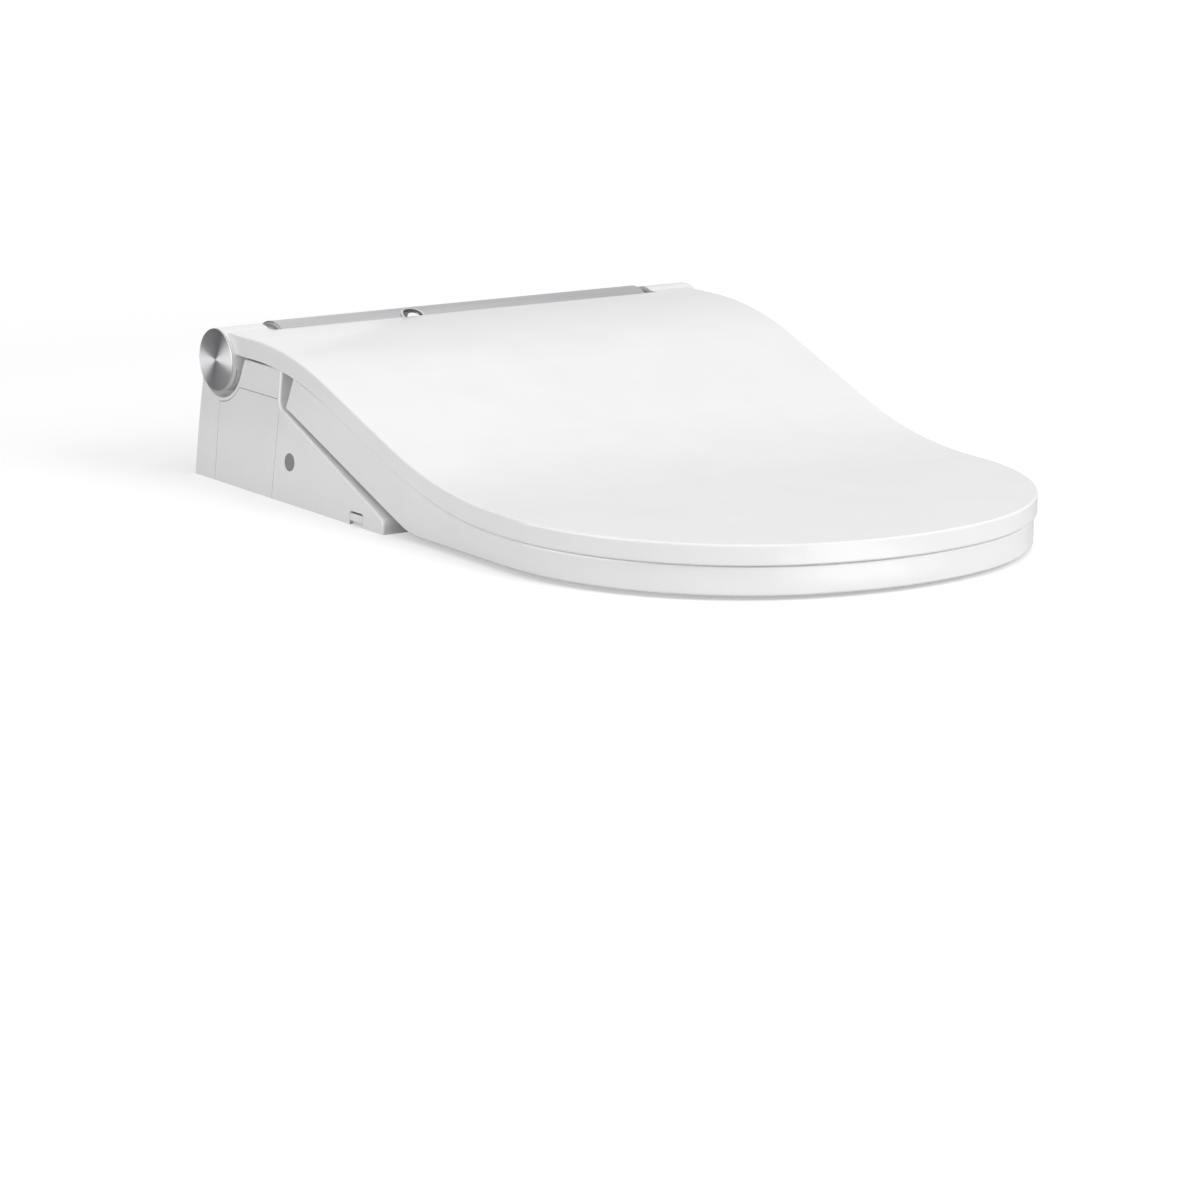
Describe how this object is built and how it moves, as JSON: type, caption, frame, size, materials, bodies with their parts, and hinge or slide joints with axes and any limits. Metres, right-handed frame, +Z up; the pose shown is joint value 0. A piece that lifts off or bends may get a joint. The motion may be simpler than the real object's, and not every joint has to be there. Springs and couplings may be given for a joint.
{
  "type": "electric bidet seat",
  "caption": "Electric toilet seat unit with an S-curved lid, heated seat ring, hinge barrel with metal trim, sliding spray wand, warm-air dryer and bolt-on base plate.",
  "frame": {"origin": "midway between the two fixing slots of the base plate, on the plane of the bowl's rim", "axes": "+X to the right seen from the front, front of the seat towards -Y, +Z up"},
  "size_m": [0.386, 0.5347, 0.1045],
  "materials": {
    "white_plastic": "polished white",
    "seat_plastic": "polished white",
    "grey_plastic": "moulded light grey",
    "buffer_rubber": "soft light grey",
    "brushed_trim": "brushed",
    "chrome_trim": "polished",
    "dark_lens": "polished infrared black",
    "smoked_window": "polished grey",
    "shaft_steel": "ground",
    "heater_foil": "foil",
    "board": "solder mask",
    "filter_mesh": "moulded dark grey",
    "motor_case": "zinc plated",
    "inner_plastic": "moulded off-white"
  },
  "bodies": {
    "base": {"side_panel_left": "white_plastic", "side_panel_right": "white_plastic", "rear_cover": "white_plastic", "receiver_window": "smoked_window", "upper_cover": "white_plastic", "bottom_case": "grey_plastic", "trim_strip": "brushed_trim", "sensor_bezel": "chrome_trim", "sensor_cover": "white_plastic", "sensor_lens": "dark_lens", "base_plate": "grey_plastic", "lid_drive": "motor_case", "seat_drive": "motor_case", "wand_guide": "inner_plastic", "wand_motor": "motor_case", "water_inlet": "inner_plastic", "inlet_valve": "inner_plastic", "water_heater": "inner_plastic", "air_pump": "inner_plastic", "flow_selector": "inner_plastic", "dryer_housing": "inner_plastic", "dryer_motor": "motor_case", "dryer_duct": "inner_plastic", "dryer_heater": "heater_foil", "odour_housing": "inner_plastic", "odour_motor": "motor_case", "odour_duct": "inner_plastic", "filter_tray": "inner_plastic", "control_board": "board", "power_board": "board", "cord_gland": "grey_plastic"},
    "seat": {"seat_upper": "seat_plastic", "seat_lower": "seat_plastic", "seat_heater": "heater_foil", "seat_buffers": "buffer_rubber", "hinge_shaft_right": "shaft_steel"},
    "lid": {"lid_shell": "white_plastic", "lid_buffers": "buffer_rubber", "hinge_cap_left": "brushed_trim", "hinge_cap_right": "brushed_trim", "hinge_shaft_left": "shaft_steel"},
    "wand": {"wand_tube": "shaft_steel", "wand_tip": "white_plastic"},
    "flap": {"dryer_flap": "white_plastic"},
    "button": {"release_button": "white_plastic"},
    "cartridge": {"filter_cartridge": "filter_mesh"},
    "dryer_impeller": {"dryer_wheel": "inner_plastic"},
    "odour_impeller": {"odour_wheel": "inner_plastic"}
  },
  "joints": [
    {"name": "seat_hinge", "type": "hinge", "parent": "base", "child": "seat", "pos_m": [0, 0.0344, 0.0814], "axis": [1, 0, 0], "range_deg": [-100, 0]},
    {"name": "lid_hinge", "type": "hinge", "parent": "seat", "child": "lid", "pos_m": [0, 0.0344, 0.0814], "axis": [-1, 0, 0], "range_deg": [0, 105]},
    {"name": "wand_slide", "type": "slide", "parent": "base", "child": "wand", "axis": [0, -0.9205, -0.3907], "range_m": [0, 0.095]},
    {"name": "flap_hinge", "type": "hinge", "parent": "base", "child": "flap", "pos_m": [0.0353, -0.11767, 0.0252], "axis": [-0.9567, 0.2909, 0], "range_deg": [0, 65]},
    {"name": "button_press", "type": "slide", "parent": "base", "child": "button", "axis": [1, 0, 0], "range_m": [0, 0.003], "stiffness_N_per_m": 600},
    {"name": "cartridge_pull", "type": "slide", "parent": "base", "child": "cartridge", "axis": [1, 0, 0], "range_m": [0, 0.07]},
    {"name": "dryer_wheel_spin", "type": "hinge", "parent": "base", "child": "dryer_impeller", "pos_m": [0.036, -0.006, 0.032], "axis": [1, 0, 0], "continuous": true},
    {"name": "odour_wheel_spin", "type": "hinge", "parent": "base", "child": "odour_impeller", "pos_m": [0.084, -0.052, 0.024], "axis": [1, 0, 0], "continuous": true}
  ]
}
